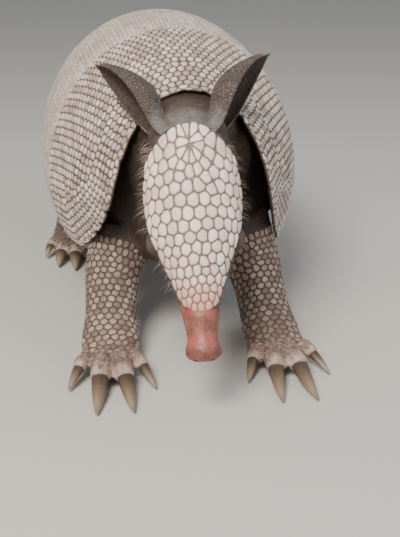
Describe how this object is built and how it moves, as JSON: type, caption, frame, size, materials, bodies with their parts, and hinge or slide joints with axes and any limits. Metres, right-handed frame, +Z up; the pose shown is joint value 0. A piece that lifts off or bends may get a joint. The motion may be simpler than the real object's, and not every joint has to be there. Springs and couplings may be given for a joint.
{
  "type": "nine-banded armadillo",
  "caption": "Life-size standing nine-banded armadillo with lowered head, banded horny shell, ringed tail and long claws, built to rest on its feet.",
  "frame": {"origin": "on the floor, under the middle of the model's bounding box", "axes": "+Z up; the animal looks along -Y, its left side is at +X and its tail lies towards +Y"},
  "size_m": [0.165, 0.6982, 0.175],
  "materials": {
    "shell": "dry keratin scutes with darker grooves",
    "skin": "tough wrinkled skin with small scales",
    "claw": "worn horn, satin",
    "eye": "wet and dark"
  },
  "bodies": {
    "root": {"head": "skin", "head_shield": "shell", "ear_left": "skin", "ear_right": "skin", "eye_left": "eye", "eye_right": "eye", "neck": "skin", "trunk": "skin", "scapular_shield": "shell", "band_1": "shell", "band_2": "shell", "band_3": "shell", "band_4": "shell", "band_5": "shell", "band_6": "shell", "band_7": "shell", "band_8": "shell", "band_9": "shell", "pelvic_shield": "shell", "tail_ring_1": "shell", "tail_ring_2": "shell", "tail_ring_3": "shell", "tail_ring_4": "shell", "tail_ring_5": "shell", "tail_ring_6": "shell", "tail_ring_7": "shell", "tail_ring_8": "shell", "tail_ring_9": "shell", "tail_ring_10": "shell", "tail_ring_11": "shell", "tail_ring_12": "shell", "tail_tip": "shell", "foreleg_left": "skin", "foreleg_right": "skin", "hindleg_left": "skin", "hindleg_right": "skin", "foreleg_left_claw_inner": "claw", "foreleg_left_claw_second": "claw", "foreleg_left_claw_third": "claw", "foreleg_left_claw_outer": "claw", "foreleg_right_claw_inner": "claw", "foreleg_right_claw_second": "claw", "foreleg_right_claw_third": "claw", "foreleg_right_claw_outer": "claw", "hindleg_left_claw_inner": "claw", "hindleg_left_claw_second": "claw", "hindleg_left_claw_third": "claw", "hindleg_left_claw_fourth": "claw", "hindleg_left_claw_outer": "claw", "hindleg_right_claw_inner": "claw", "hindleg_right_claw_second": "claw", "hindleg_right_claw_third": "claw", "hindleg_right_claw_fourth": "claw", "hindleg_right_claw_outer": "claw"}
  },
  "joints": []
}
